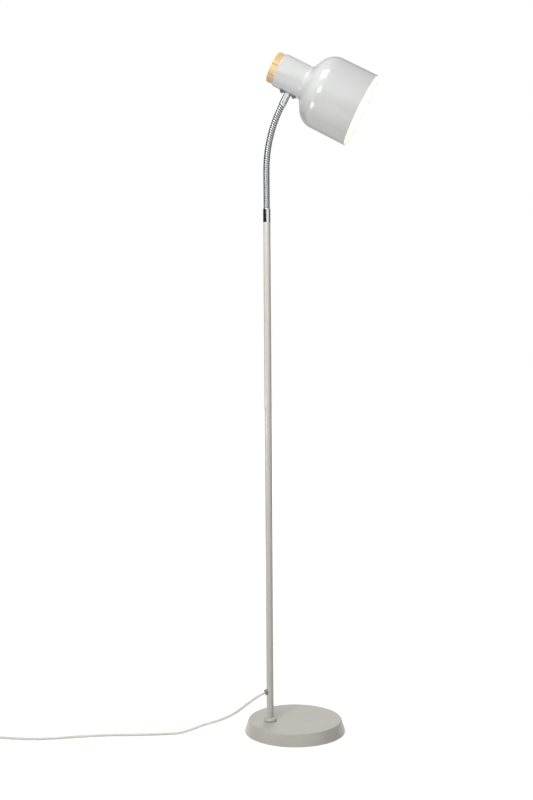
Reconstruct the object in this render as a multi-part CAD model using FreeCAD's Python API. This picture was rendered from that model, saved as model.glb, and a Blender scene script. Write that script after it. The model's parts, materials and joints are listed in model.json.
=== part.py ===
"""Gooseneck reading floor lamp, lit, with its cord laid out behind it.

Millimetres, +Z up. The origin is the centre of the base on the floor. The pole stands off centre on
the -X side. The neck bends in an upright plane that is turned about the pole's axis.
"""
import FreeCAD, Part
import math
import os

V = FreeCAD.Vector
UP = V(0, 0, 1)

# ---- clearances -------------------------------------------------------------------------------
fit = 0.05               # between pieces that are screwed, pressed or glued together
slip = 0.3               # between pieces that lie loosely beside each other
running = 0.05           # radial, between a pin and its bore
near = 0.01              # places closer than this are the same place
past = 1.0               # how far a cutting or joining shape runs past its piece

# ---- base -------------------------------------------------------------------------------------
base_r_bottom = 111.0
base_side_in = 9.0       # how much less the flat top is, before its edge is rounded
base_h = 26.3            # floor to top
base_edge_r = 3.2
least_edge_r = 0.3       # a smaller one is left sharp
base_rim_gap = 0.7       # cover's rim above the floor
cover_wall = 1.5
felt_t = 1.2
felt_margin = 7.0        # from the base's foot to the felt's edge
plate_t = 1.5
weight_well_r = 17.0     # recess under the weight, for the nut
weight_well_h = 12.0
stud_r = 5.0             # hollow threaded stud
stud_bore_r = 3.0
stud_end = 1.5           # stud showing past its nut
stud_grip = 18.0         # stud inside the pole's foot insert
washer_r = 13.0
washer_t = 1.5
base_nut_af = 17.0       # across flats
base_nut_t = 7.0

# ---- pole -------------------------------------------------------------------------------------
pole_x = -56.3
pole_r = 7.7
pole_wall = 1.2
pole_tube_l = 360.0      # shown length of each of the three sections
seam_gap = 0.15          # fine gap where two sections meet
collar_r = 14.4
collar_foot_r = 12.9
collar_h = 7.8
collar_seat = 3.0        # pole standing inside the collar
collar_side_h = 4.8      # of its round side
collar_side_in = 1.2     # how far that side has come in at its top
collar_lip = 0.6         # wall round the pole at its top
collar_dome = 0.75       # rise of its domed top over a straight slope
insert_l = 22.0          # foot insert
coupler_l = 44.0
coupler_bore_r = 3.4
lead_r = 1.8             # two insulated cores, sheath left off inside the lamp
lead_rise = 45.0         # from the bush to where the lead reaches the pole's axis

# ---- cord bush in the pole --------------------------------------------------------------------
bush_z = 93.0            # where its line meets the pole's axis
bush_dip_deg = 20.0      # of its line, down towards the floor
bush_r = 6.2
bush_out = 4.5           # standing out of the pole
bush_round = 1.6
bush_neck_r = 4.2        # in the pole's hole
bush_neck_in = 0.8       # wall of the pole's bore that the neck doesn't reach, measured along it
bush_bore_r = 1.95

# ---- neck -------------------------------------------------------------------------------------
neck_turn = -18.2        # degrees, of the neck's plane about the pole's axis
neck_straight = 81.6
neck_curve_r = 298.0
head_tilt = 27.7         # degrees, the neck's whole curve and the shade's dip
hose_r = 7.0             # over the ribs
hose_valley_r = 6.1
hose_bore_r = 2.6
hinges = 12              # flexing places, bending and swaying in turn
ribs_per_link = 4
rib_slope = 0.4          # length of a rib's sloped flank
bend_back_deg = 16.0     # at each bending place
bend_forward_deg = 12.0
sway_deg = 10.0
ball_r = 5.2
ball_top = 3.0           # ball kept above its centre
ball_fit = 0.1
rim_drop = 1.0           # how far the socket reaches round the ball, past its centre
swing_gap = 0.3          # left between a socket's rim and the shoulder at full bend
spigot_l = 12.0          # hose inside each ferrule
top_ferrule_r = 8.0
top_ferrule_h = 29.0
top_ferrule_tail = 20.0  # inside the pole
ferrule_round = 0.8
head_ferrule_r = 7.75
head_ferrule_l = 26.45
grub_r = 1.5
grub_up = 5.8            # above the head ferrule's mouth
grub_socket_r = 0.8
grub_socket_deep = 0.7
grub_sunk = 0.2          # below the ferrule's side

# ---- head: t runs along the shade's axis from the wooden cap's rear face -------------------------
wood_r = 33.35
wood_round = 1.2
wood_web = 8.0
wood_wall = 3.6
wood_flange_t = 4.0
shade_wall = 0.9
shade_rear_t = 15.8
shade_neck_r = 36.5
shade_lip_r = 33.5
shade_corner_r = 2.0
shade_neck_end_t = 76.2
shade_fillet_r = 7.9
shade_ramp_deg = 60.6
shade_shoulder_r = 41.3
shade_bell_r = 79.3
shade_flare_deg = 0.5
shade_mouth_t = 211.4
ferrule_t = 54.5
saddle_wall = 2.0
saddle_l = 38.0
saddle_w = 15.0
saddle_screw_gap = 27.7
screw_r = 2.0
screw_head_r = 3.4
screw_head_h = 3.0
screw_head_round = 0.5
screw_end = 1.0          # of each screw, past the bracket
screw_hex_r = 1.7
screw_hex_deep = 1.6
lead_hole_r = 2.4
bracket_wall = 2.0
bracket_w = 16.0
bracket_end = 6.0        # strip past the front screw
nipple_r = 5.0
nipple_bore_r = 2.4
nipple_back = 3.5        # behind the bracket
nipple_front = 9.0       # in front of it
nipple_nut_af = 14.0
nipple_nut_t = 3.0
holder_r = 20.0
holder_wall = 1.6
holder_round = 5.0
holder_shell_l = 25.0
block_l = 14.0
skirt_l = 24.0
cap_r = 13.1             # screw cap of the bulb
cap_fit = 0.4
cap_l = 26.0
cap_contact_r = 4.6
cap_taper = 4.5
bulb_r = 30.0
bulb_l = 78.0            # glass, from the cap to its tip
bulb_wall = 0.8
head_lead_drop = 26.0    # of the lead's rearward run below the shade's axis
head_lead_turn_t = 10.5  # where the lead turns up inside the wooden cap
head_lead_ease = 0.28    # share of a run that each of its bends takes

# ---- free cord ----------------------------------------------------------------------------------
cord_r = 2.7
route = [                # from the bush to the switch, chosen by hand
    (-67.77, 0.0, 88.82), (-80.7, 0.0, 84.12), (-99.2, 1.6, 72.0), (-134.9, 7.4, 45.2),
    (-166.2, 14.0, 31.0), (-197.5, 20.8, 23.0), (-225.8, 27.1, 12.3), (-249.2, 32.2, 4.0),
    (-283.5, 39.2, 2.7), (-338.1, 47.2, 2.7), (-398.3, 62.2, 2.7), (-464.4, 69.5, 2.7),
    (-529.9, 70.4, 2.7), (-585.6, 78.3, 4.2), (-625.8, 90.7, 6.5), (-649.7, 98.4, 6.5)]
tail_level = 18.0        # past the switch, where the cord starts down to the floor
tail_dip = 0.5           # how far it has sunk by then
tail_down = 34.0         # past the switch, where it is down
switch_l = 62.0
switch_w = 27.0
switch_nose_w = 13.0
switch_nose_l = 13.0
switch_h = 19.0
switch_wall = 1.8
switch_split = 9.0       # height of the seam between the two shells
switch_round = 3.0
rocker_l = 22.0
rocker_w = 12.0
rocker_gap = 0.5
rocker_deg = 8.0         # each way from level
rocker_crest = 0.4       # of its middle above the shell
rocker_rise = 1.6        # of its ends above its middle
rocker_deep = 2.0        # below its pin
rocker_foot_l = 15.8
rocker_pin_r = 1.5
rocker_pin_drop = 1.0    # between the pin and the shell's wall above it
rocker_pin_short = 0.2   # how far the pin ends inside the ears' outer sides
ear_t = 2.6
ear_l = 7.5
ear_deep = 3.3           # below the pin
terminal_l = 7.0
terminal_w = 5.0
terminal_h = 6.0
terminal_gap = 1.0       # between the two beside each other
lead_in = 56.0           # from the switch to the coil's first turn
coil_turns = 6.5
coil_inner_r = 21.7
coil_gap = 0.5           # between turns beside and on each other
tie_wall = 0.5
tie_w = 9.0
tie_gap = 0.35
tie_slip = 0.1           # between the tie and the turns that lie on it
plug_drop_l = 28.6       # cord from the coil to the plug
plug_drop_level = 8.6    # before the coil, where that cord starts down
plug_drop_down = 20.6    # before the coil, where it is down
plug_shift = 0.6
relief_l = 24.0
relief_tip_r = 3.7
relief_root_r = 5.4
plug_l = 36.0
plug_root_w = 13.0
plug_w = 35.0            # at its widest
plug_widest = 16.2       # from its root to there
plug_nose_w = 26.0
plug_t = 13.7
plug_round = 3.0
pin_r = 2.0
pin_l = 19.0
pin_gap = 18.6           # centre to centre
pin_tip_round = 1.2
pin_root_r = 1.6         # in the plug's body
pin_inside = 8.0

# ---- sizes that follow ------------------------------------------------------------------------
base_r_top = base_r_bottom - base_side_in
felt_r = base_r_bottom - felt_margin
pole_bore_r = pole_r - pole_wall
pole_foot_z = base_h + collar_h
seam_1_z = pole_foot_z + pole_tube_l
seam_2_z = seam_1_z + pole_tube_l
pole_top_z = seam_2_z + pole_tube_l
neck_z = pole_top_z + top_ferrule_h
neck_l = neck_straight + neck_curve_r * math.radians(head_tilt)
link_l = neck_l / hinges
rib_pitch = link_l / ribs_per_link
widest_deg = max(bend_back_deg, bend_forward_deg, sway_deg)
swing = math.radians(widest_deg)
groove = hose_valley_r * math.sin(swing) - rim_drop * (1 - math.cos(swing)) + swing_gap
spigot_r = hose_valley_r
socket_bore_r = spigot_r + fit
saddle_in_r = shade_neck_r + fit
saddle_out_r = saddle_in_r + saddle_wall
head_drop = saddle_out_r + head_ferrule_l
shade_bore_r = shade_neck_r - shade_wall
bracket_out_r = shade_bore_r - fit
bracket_in_r = bracket_out_r - bracket_wall
wood_front_t = shade_rear_t + shade_wall + wood_flange_t
bracket_t = wood_front_t + fit
holder_t = bracket_t + bracket_wall
block_t = holder_t + holder_shell_l - block_l
skirt_t = holder_t + holder_shell_l
cap_t = skirt_t + fit
glass_t = cap_t + cap_l
coil_pitch = 2 * cord_r + coil_gap
coil_outer_r = coil_inner_r + coil_pitch * coil_turns / 2
coil_low_z = tie_wall + tie_slip + cord_r
cord_stub = 2 * cord_r   # straight end of the coil
plug_z = plug_t / 2
rocker_pin_z = switch_h - switch_wall - rocker_pin_drop - rocker_pin_r


# ---- small helpers ----------------------------------------------------------------------------
def frame_at(origin, x_axis, z_axis):
    """Placement whose local X and Z point along the two axes."""
    y_axis = z_axis.cross(x_axis)
    return FreeCAD.Placement(FreeCAD.Matrix(
        x_axis.x, y_axis.x, z_axis.x, origin.x,
        x_axis.y, y_axis.y, z_axis.y, origin.y,
        x_axis.z, y_axis.z, z_axis.z, origin.z,
        0, 0, 0, 1))


def placed(shape, placement):
    moved = shape.copy()
    moved.Placement = placement.multiply(moved.Placement)
    return moved


def rod(radius, low, high, at=V(0, 0, 0)):
    """Upright cylinder from height low to height high."""
    return Part.makeCylinder(radius, high - low, at + UP * low)


def bar(radius, start, end):
    """Cylinder between two points."""
    along = end - start
    return Part.makeCylinder(radius, along.Length, start, along)


def tube(outer, inner, low, high, at=V(0, 0, 0)):
    return rod(outer, low, high, at).cut(rod(inner, low - past, high + past, at))


def box(low, high):
    size = V(*high) - V(*low)
    return Part.makeBox(size.x, size.y, size.z, V(*low))


def hexagon(across_flats, low, high, at=V(0, 0, 0)):
    corner_r = across_flats / math.sqrt(3)
    corners = [at + V(corner_r * math.cos(math.radians(60 * i)),
                      corner_r * math.sin(math.radians(60 * i)), low) for i in range(7)]
    return Part.Face(Part.makePolygon(corners)).extrude(UP * (high - low))


def revolved(edges):
    """Solid of revolution about Z from edges drawn in the XZ plane."""
    face = Part.Face(Part.Wire(edges))
    return face.revolve(V(0, 0, 0), UP, 360)


def outline(points):
    """Straight edges round a list of (radius, height) points."""
    ring = [V(r, 0, z) for r, z in points]
    return [Part.LineSegment(a, b).toShape() for a, b in zip(ring, ring[1:] + ring[:1])]


def arc(start, middle, end):
    return Part.Arc(start, middle, end).toShape()


def line(start, end):
    return Part.LineSegment(start, end).toShape()


def rounded(solid, radius, chosen):
    """Fillet the edges that the test picks by their centre point and length."""
    edges = [e for e in solid.Edges if chosen(e)]
    return solid.makeFillet(radius, edges)


def keep(name, shape):
    """Write one node's solids to its own file."""
    solids = [s.removeSplitter() for s in shape.Solids]
    whole = solids[0] if len(solids) == 1 else Part.makeCompound(solids)
    if not whole.isValid():
        raise ValueError("not valid: " + name)
    whole.exportStep("parts/%s.step" % name)
    print("%-18s %d solid(s) %10.1f mm3" % (name, len(solids), whole.Volume))


# ---- cords: straight runs joined by tangent arcs ------------------------------------------------
def cord_tube(name, points, radius, ease=0.45):
    """Tube along a route; each arc is as large as its two runs allow."""
    points = [V(*p) for p in points]
    edges = []
    radii = []
    last = points[0]
    for before, corner, after in zip(points, points[1:], points[2:]):
        back = (before - corner).normalize()
        on = (after - corner).normalize()
        half_turn = (math.pi - back.getAngle(on)) / 2
        reach = ease * min((before - corner).Length, (after - corner).Length)
        bend_r = reach / math.tan(half_turn)
        radii.append(bend_r)
        start = corner + back * reach
        end = corner + on * reach
        inward = (back + on).normalize()
        middle = corner + inward * (bend_r / math.cos(half_turn) - bend_r)
        edges += [line(last, start), arc(start, middle, end)]
        last = end
    edges.append(line(last, points[-1]))
    path = Part.Wire(edges)
    ring = Part.Wire(Part.makeCircle(radius, points[0], points[1] - points[0]))
    solid = path.makePipeShell([ring], True)
    expected = math.pi * radius * radius * path.Length
    print("%s: length %.1f mm, least radius %.1f mm, volume ratio %.4f" % (
        name, path.Length, min(radii), solid.Volume / expected))
    return solid


def biarc(p0, t0, p1, t1):
    """Two tangent arcs between two points with given directions."""
    chord = p1 - p0
    both = t0 + t1
    spread = 2 * (1 - t0.dot(t1))
    along = chord.dot(both)
    reach = (math.sqrt(along * along + spread * chord.dot(chord)) - along) / spread
    joint = (p0 + p1 + (t0 - t1) * reach) * 0.5
    arcs = []
    for start, end, corner in ((p0, joint, p0 + t0 * reach), (joint, p1, p1 - t1 * reach)):
        middle = (start + end) * 0.5
        cos_half = (end - start).Length / (2 * reach)
        arcs.append(arc(start, middle + (corner - middle) * (cos_half / (1 + cos_half)), end))
    return arcs


# ---- base ---------------------------------------------------------------------------------------
def base_form(inset, low, high, edge_r=0.0):
    """Tapered round body, inset square to the base's outer surface, with its top edge rounded."""
    taper = math.atan((base_r_bottom - base_r_top) / base_h)
    side = inset / math.cos(taper)
    r_low = base_r_bottom - low * math.tan(taper) - side
    r_high = base_r_bottom - high * math.tan(taper) - side
    body = Part.makeCone(r_low, r_high, high - low, UP * low)
    if edge_r > least_edge_r:
        body = rounded(body, edge_r, lambda e: e.BoundBox.ZMin > high - near and e.Length > near)
    return body


def make_base():
    pole_foot = V(pole_x, 0, 0)
    plate_z = felt_t + plate_t
    inside_top = base_h - cover_wall
    weight_top = inside_top - slip
    well_top = plate_z + weight_well_h

    inside = base_form(cover_wall, base_rim_gap - past, inside_top, base_edge_r - cover_wall)
    cover = base_form(0, base_rim_gap, base_h, base_edge_r).cut(inside)
    keep("base_cover", cover.cut(rod(stud_r + slip, inside_top - past, base_h + past, pole_foot)))

    weight_inset = cover_wall + slip
    weight = base_form(weight_inset, plate_z, weight_top, base_edge_r - weight_inset)
    weight = weight.cut(rod(weight_well_r, plate_z - past, well_top, pole_foot))
    keep("base_weight", weight.cut(rod(stud_r + slip, plate_z, base_h, pole_foot)))

    keep("base_plate", base_form(weight_inset, felt_t, plate_z))
    keep("felt_pad", rod(felt_r, 0, felt_t))

    washer_z = well_top - washer_t
    nut_z = washer_z - base_nut_t
    insert_z = pole_foot_z - collar_seat
    keep("base_washer", tube(washer_r, stud_r + fit, washer_z, well_top, pole_foot))
    nut = hexagon(base_nut_af, nut_z, washer_z, pole_foot)
    keep("base_nut", nut.cut(rod(stud_r + fit, nut_z - past, washer_z + past, pole_foot)))
    keep("pole_stud", tube(stud_r, stud_bore_r, nut_z - stud_end, insert_z + stud_grip, pole_foot))


def make_collar():
    bore = stud_r + slip
    seat_r = pole_r + fit
    foot = V(collar_foot_r, 0, 0)
    side_middle = V(collar_r, 0, collar_side_h / 2)
    side_top = V(collar_r - collar_side_in, 0, collar_side_h)
    lip = V(seat_r + collar_lip, 0, collar_h)
    slope = lip - side_top
    dome_middle = (side_top + lip) * 0.5 + V(slope.z, 0, -slope.x).normalize() * collar_dome
    rim = V(seat_r, 0, collar_h)
    seat = V(seat_r, 0, collar_h - collar_seat)
    seat_inner = V(bore, 0, collar_h - collar_seat)
    foot_inner = V(bore, 0, 0)
    edges = [line(foot_inner, foot), arc(foot, side_middle, side_top), arc(side_top, dome_middle, lip),
             line(lip, rim), line(rim, seat), line(seat, seat_inner), line(seat_inner, foot_inner)]
    keep("foot_collar", placed(revolved(edges), FreeCAD.Placement(V(pole_x, 0, base_h), FreeCAD.Rotation())))


# ---- pole ---------------------------------------------------------------------------------------
def make_pole():
    at = V(pole_x, 0, 0)
    foot_z = pole_foot_z - collar_seat
    lower = tube(pole_r, pole_bore_r, foot_z, seam_1_z - seam_gap / 2, at)
    bush_at = FreeCAD.Placement(at + UP * bush_z, FreeCAD.Rotation(V(0, -1, 0), bush_dip_deg))
    hole = bar(bush_neck_r + fit, V(-pole_r * 2, 0, 0), V(0, 0, 0))
    keep("pole_lower", lower.cut(placed(hole, bush_at)))
    keep("pole_middle", tube(pole_r, pole_bore_r, seam_1_z + seam_gap / 2, seam_2_z - seam_gap / 2, at))
    keep("pole_upper", tube(pole_r, pole_bore_r, seam_2_z + seam_gap / 2, pole_top_z, at))

    plug_r = pole_bore_r - fit
    keep("foot_insert", tube(plug_r, stud_r + fit, foot_z, foot_z + insert_l, at))
    for name, seam_z in (("lower_coupler", seam_1_z), ("upper_coupler", seam_2_z)):
        half = coupler_l / 2
        keep(name, tube(plug_r, coupler_bore_r, seam_z - half, seam_z + half, at))

    # the bush: a flange shaped to the pole, and a neck through the pole's wall
    outer_x = -pole_r - bush_out
    flange = rounded(bar(bush_r, V(outer_x, 0, 0), V(0, 0, 0)), bush_round,
                     lambda e: e.BoundBox.XMax < outer_x + near)
    flange = placed(flange, bush_at).cut(rod(pole_r + fit, bush_z - 3 * bush_r, bush_z + 3 * bush_r, at))
    neck = placed(bar(bush_neck_r, V(-pole_r - past, 0, 0), V(-pole_bore_r + bush_neck_in, 0, 0)), bush_at)
    bore = placed(bar(bush_bore_r, V(outer_x - past, 0, 0), V(0, 0, 0)), bush_at)
    keep("cord_bush", flange.fuse(neck).cut(bore))

    # the lead from the bush up to the neck; it swings across the pole's bore, then back to its axis
    across = pole_bore_r - lead_r - slip
    lead_route = [bush_at.multVec(V(outer_x, 0, 0)), bush_at.multVec(V(across, 0, 0)),
                  (pole_x, 0, bush_z + lead_rise), (pole_x, 0, neck_z)]
    keep("pole_lead", cord_tube("pole_lead", lead_route, lead_r))


# ---- neck: drawn in its own plane, X forward from the pole's axis, Z up from the ferrule ------------
NECK = FreeCAD.Placement(V(pole_x, 0, neck_z), FreeCAD.Rotation(UP, neck_turn))
ACROSS = V(0, 1, 0)


def neck_at(s):
    """Point and direction of the neck's centre line at the distance s along it."""
    if s <= neck_straight:
        return V(0, 0, s), V(0, 0, 1)
    angle = min(s - neck_straight, neck_l - neck_straight) / neck_curve_r
    point = V(neck_curve_r * (1 - math.cos(angle)), 0, neck_straight + neck_curve_r * math.sin(angle))
    along = V(math.sin(angle), 0, math.cos(angle))
    return point + along * max(s - neck_l, 0), along


def neck_loft(stations):
    """Ruled loft through circles (s, radius), their X axes all across the neck's plane."""
    rings = []
    for s, radius in stations:
        point, along = neck_at(s)
        rings.append(Part.Wire(placed(Part.makeCircle(radius), frame_at(point, ACROSS, along))))
    return Part.makeLoft(rings, True, True)


def rib_circles(first, end):
    """Four circles for each rib between two places, on the neck's even pitch."""
    circles = []
    rib_l = rib_pitch - groove
    start = first
    while start < end - near:
        low = max(start, swing_gap)
        high = min(start + rib_l, neck_l - swing_gap)
        if high - low > 3 * rib_slope:
            circles += [(low, hose_valley_r), (low + rib_slope, hose_r),
                        (high - rib_slope, hose_r), (high, hose_valley_r)]
        start += rib_pitch
    return circles


def ball_angle(height):
    return math.degrees(math.asin(height / ball_r))


def neck_link(number):
    """One rigid length of the hose: a socket below, ribs, and a ball above."""
    below = (number - 0.5) * link_l
    above = below + link_l
    first, last = number == 0, number == hinges
    low = -spigot_l if first else below - rim_drop
    high = neck_l + spigot_l if last else above - rim_drop - groove
    rib_start = -rim_drop if first else low
    circles = rib_circles(rib_start, min(high, neck_l))
    if low < circles[0][0] - near:
        circles.insert(0, (low, hose_valley_r))
    if high > circles[-1][0] + near:
        circles.append((high, hose_valley_r))
    link = neck_loft(circles)
    bore_low, bore_high = low - past, high + past
    if not last:
        centre, along = neck_at(above)
        buried = rim_drop + groove + past
        link = link.fuse(Part.makeSphere(ball_r, centre, along, -ball_angle(buried), ball_angle(ball_top)))
        bore_high = above + ball_top + past
    if not first:
        centre, along = neck_at(below)
        link = link.cut(Part.makeSphere(ball_r + ball_fit, centre))
    steps = math.ceil((bore_high - bore_low) / rib_pitch)
    bore = [(bore_low + (bore_high - bore_low) * i / steps, hose_bore_r) for i in range(steps + 1)]
    return link.cut(neck_loft(bore))


def make_neck():
    spigot = rod(pole_bore_r - fit, -top_ferrule_tail, 0)
    body = rod(top_ferrule_r, 0, top_ferrule_h)
    body = rounded(body, ferrule_round, lambda e: e.BoundBox.ZMin > top_ferrule_h - near)
    ferrule = body.fuse(spigot).cut(rod(hose_bore_r, -top_ferrule_tail - past, top_ferrule_h + past))
    ferrule = ferrule.cut(rod(socket_bore_r, top_ferrule_h - spigot_l - slip, top_ferrule_h + past))
    keep("top_ferrule", placed(ferrule, FreeCAD.Placement(V(pole_x, 0, pole_top_z), FreeCAD.Rotation())))

    for number in range(hinges + 1):
        keep("hose_link_%d" % number, placed(neck_link(number), NECK))

    lead_end = neck_l + head_ferrule_l
    steps = round(lead_end / rib_pitch)
    lead = neck_loft([(lead_end * i / steps, lead_r) for i in range(steps + 1)])
    keep("neck_lead", placed(lead, NECK))


# ---- head: drawn with Z along the shade's axis and X down towards the neck ---------------------------
tip, tip_along = neck_at(neck_l)
dip = ACROSS.cross(tip_along)
HEAD = NECK.multiply(frame_at(tip + tip_along * head_drop - dip * ferrule_t, tip_along * -1, dip))


def make_ferrule_and_saddle():
    inner_end = saddle_out_r + fit
    mouth = V(head_drop, 0, ferrule_t)
    ferrule = bar(head_ferrule_r, mouth, V(0, 0, ferrule_t))
    ferrule = rounded(ferrule, ferrule_round, lambda e: e.BoundBox.XMin > head_drop - near)
    ferrule = ferrule.cut(bar(inner_end, V(0, 0, 0), V(0, 0, 2 * ferrule_t)))
    ferrule = ferrule.cut(bar(hose_bore_r, mouth + V(past, 0, 0), V(0, 0, ferrule_t)))
    ferrule = ferrule.cut(bar(socket_bore_r, mouth + V(past, 0, 0), mouth - V(spigot_l + slip, 0, 0)))
    grub_at = mouth - V(grub_up, 0, 0)
    side = V(0, -1, 0)
    ferrule = ferrule.cut(bar(grub_r + fit, grub_at, grub_at + side * (head_ferrule_r + past)))
    keep("head_ferrule", placed(ferrule, HEAD))
    grub_face = head_ferrule_r - grub_sunk
    grub = bar(grub_r, grub_at + side * (spigot_r + fit), grub_at + side * grub_face)
    socket_floor = grub_at + side * (grub_face - grub_socket_deep)
    socket = bar(grub_socket_r, socket_floor, grub_at + side * head_ferrule_r)
    keep("grub_screw", placed(grub.cut(socket), HEAD))

    low, high = ferrule_t - saddle_l / 2, ferrule_t + saddle_l / 2
    plate = tube(saddle_out_r, saddle_in_r, low, high)
    plate = plate.common(box((0, -saddle_w / 2, low), (saddle_out_r + past, saddle_w / 2, high)))
    plate = plate.cut(bar(lead_hole_r, V(0, 0, ferrule_t), V(saddle_out_r + past, 0, ferrule_t)))
    screws = []
    for t in screw_places():
        plate = plate.cut(bar(screw_r + fit, V(0, 0, t), V(saddle_out_r + past, 0, t)))
        screws.append(cap_screw(t))
    keep("saddle", placed(plate, HEAD))
    keep("saddle_screws", placed(Part.makeCompound(screws), HEAD))


def screw_places():
    return ferrule_t - saddle_screw_gap / 2, ferrule_t + saddle_screw_gap / 2


def cap_screw(t):
    """Socket-head screw through the saddle and the shade's neck, into the bracket."""
    seat = saddle_out_r + fit
    head = bar(screw_head_r, V(seat, 0, t), V(seat + screw_head_h, 0, t))
    head = rounded(head, screw_head_round, lambda e: e.BoundBox.XMin > seat + screw_head_h - near)
    shank = bar(screw_r, V(bracket_in_r - screw_end, 0, t), V(seat + screw_head_h / 4, 0, t))
    hexagonal = placed(hexagon(screw_hex_r * math.sqrt(3), 0, screw_hex_deep + past),
                       frame_at(V(seat + screw_head_h - screw_hex_deep, 0, t), V(0, 1, 0), V(1, 0, 0)))
    return head.fuse(shank).cut(hexagonal)


def shade_points(inset):
    """Corner and tangent points of the shade's line, moved inwards by the inset, as (radius, t)."""
    ramp = math.radians(shade_ramp_deg)
    flare = math.radians(shade_flare_deg)
    fillet_r = shade_fillet_r + inset
    shoulder_r = shade_shoulder_r - inset
    fillet_centre = V(shade_neck_r + shade_fillet_r, 0, shade_neck_end_t)
    shoulder_low_r = shade_bell_r - shade_shoulder_r * (math.cos(flare) - math.cos(ramp))
    ramp_low = fillet_centre + V(-math.cos(ramp), 0, math.sin(ramp)) * shade_fillet_r
    ramp_high_t = ramp_low.z + (shoulder_low_r - ramp_low.x) / math.tan(ramp)
    centre = V(shoulder_low_r, 0, ramp_high_t) - V(math.cos(ramp), 0, -math.sin(ramp)) * shade_shoulder_r

    def on_fillet(angle):
        return fillet_centre + V(-math.cos(angle), 0, math.sin(angle)) * fillet_r

    def on_shoulder(angle):
        return centre + V(math.cos(angle), 0, -math.sin(angle)) * shoulder_r

    top = on_shoulder(flare)
    mouth = top + V(math.tan(flare), 0, 1) * (shade_mouth_t - shade_wall / 2 - top.z)
    return {"fillet": [on_fillet(a) for a in (0, ramp / 2, ramp)],
            "shoulder": [on_shoulder(a) for a in (ramp, (ramp + flare) / 2, flare)],
            "mouth": mouth}


def shade_line(inset):
    """Edges of one side of the shade, from the rear lip to the mouth, and its two ends."""
    lip_t = shade_rear_t + inset
    corner_r = shade_corner_r - inset
    corner = V(shade_neck_r - shade_corner_r, 0, shade_rear_t + shade_corner_r)
    points = shade_points(inset)
    fillet, shoulder, mouth = points["fillet"], points["shoulder"], points["mouth"]
    start = V(shade_lip_r, 0, lip_t)
    flat_end = V(corner.x, 0, lip_t)
    round_end = V(shade_neck_r - inset, 0, corner.z)
    round_mid = corner + V(1, 0, -1).normalize() * corner_r
    edges = [line(start, flat_end), arc(flat_end, round_mid, round_end), line(round_end, fillet[0]),
             arc(*fillet), line(fillet[2], shoulder[0]), arc(*shoulder), line(shoulder[2], mouth)]
    return edges, start, mouth


def make_shade():
    outer, outer_start, outer_mouth = shade_line(0)
    inner, inner_start, inner_mouth = shade_line(shade_wall)
    rim = (outer_mouth + inner_mouth) * 0.5 + UP * (shade_wall / 2)
    edges = outer + [arc(outer_mouth, rim, inner_mouth)] + inner[::-1] + [line(inner_start, outer_start)]
    shade = revolved(edges)
    shade = shade.cut(bar(lead_hole_r, V(0, 0, ferrule_t), V(shade_neck_r + past, 0, ferrule_t)))
    for t in screw_places():
        shade = shade.cut(bar(screw_r + fit, V(0, 0, t), V(shade_neck_r + past, 0, t)))
    keep("shade", placed(shade, HEAD))


def make_wood_cap():
    """Turned cap that closes the shade's neck; its flange sits behind the shade's rolled lip."""
    visible = rod(wood_r, 0, wood_front_t)
    visible = rounded(visible, wood_round, lambda e: e.BoundBox.ZMax < near)
    flange_t = shade_rear_t + shade_wall + fit
    flange = rod(shade_bore_r - slip, flange_t, wood_front_t)
    flange = rounded(flange, shade_corner_r - slip, lambda e: e.BoundBox.ZMax < flange_t + near)
    cap = visible.fuse(flange)
    keep("wood_cap", placed(cap.cut(rod(wood_r - wood_wall, wood_web, wood_front_t + past)), HEAD))


def make_bracket():
    """Strip inside the neck that takes the two screws, with an upright that carries the lampholder."""
    strip_end = screw_places()[1] + bracket_end
    strip = tube(bracket_out_r, bracket_in_r, bracket_t, strip_end)
    upright = box((-2 * nipple_r, -bracket_w / 2, bracket_t),
                  (bracket_in_r + bracket_wall / 2, bracket_w / 2, bracket_t + bracket_wall))
    strip = strip.common(box((0, -bracket_w / 2, 0), (shade_neck_r, bracket_w / 2, strip_end)))
    bracket = strip.fuse(upright).cut(rod(nipple_r + fit, 0, strip_end))
    lead_at = V(head_lead_drop, 0, 0)
    bracket = bracket.cut(rod(lead_hole_r, bracket_t - past, holder_t + past, lead_at))
    bracket = bracket.cut(bar(lead_hole_r, V(0, 0, ferrule_t), V(shade_neck_r, 0, ferrule_t)))
    for t in screw_places():
        bracket = bracket.cut(bar(screw_r + fit, V(nipple_r * 2, 0, t), V(shade_neck_r, 0, t)))
    keep("holder_bracket", placed(bracket, HEAD))
    nipple = tube(nipple_r, nipple_bore_r, bracket_t - nipple_back, holder_t + nipple_front)
    keep("holder_nipple", placed(nipple, HEAD))
    inside_z = holder_t + holder_wall
    nuts = []
    for low in (bracket_t - nipple_nut_t, inside_z):
        high = low + nipple_nut_t
        nuts.append(hexagon(nipple_nut_af, low, high).cut(rod(nipple_r + fit, low - past, high + past)))
    keep("nipple_nuts", placed(Part.makeCompound(nuts), HEAD))


def make_lampholder():
    shell = rod(holder_r, holder_t, skirt_t)
    shell = rounded(shell, holder_round, lambda e: e.BoundBox.ZMax < holder_t + near)
    inside_t = holder_t + holder_wall
    hollow = rod(holder_r - holder_wall, inside_t, skirt_t + past)
    hollow = rounded(hollow, holder_round - holder_wall, lambda e: e.BoundBox.ZMax < inside_t + near)
    shell = shell.cut(hollow).cut(rod(nipple_r + fit, holder_t - past, inside_t + past))
    keep("holder_shell", placed(shell, HEAD))
    keep("contact_block", placed(rod(holder_r - holder_wall - fit, block_t, skirt_t), HEAD))
    keep("holder_skirt", placed(tube(holder_r, cap_r + cap_fit, skirt_t, skirt_t + skirt_l), HEAD))


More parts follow.
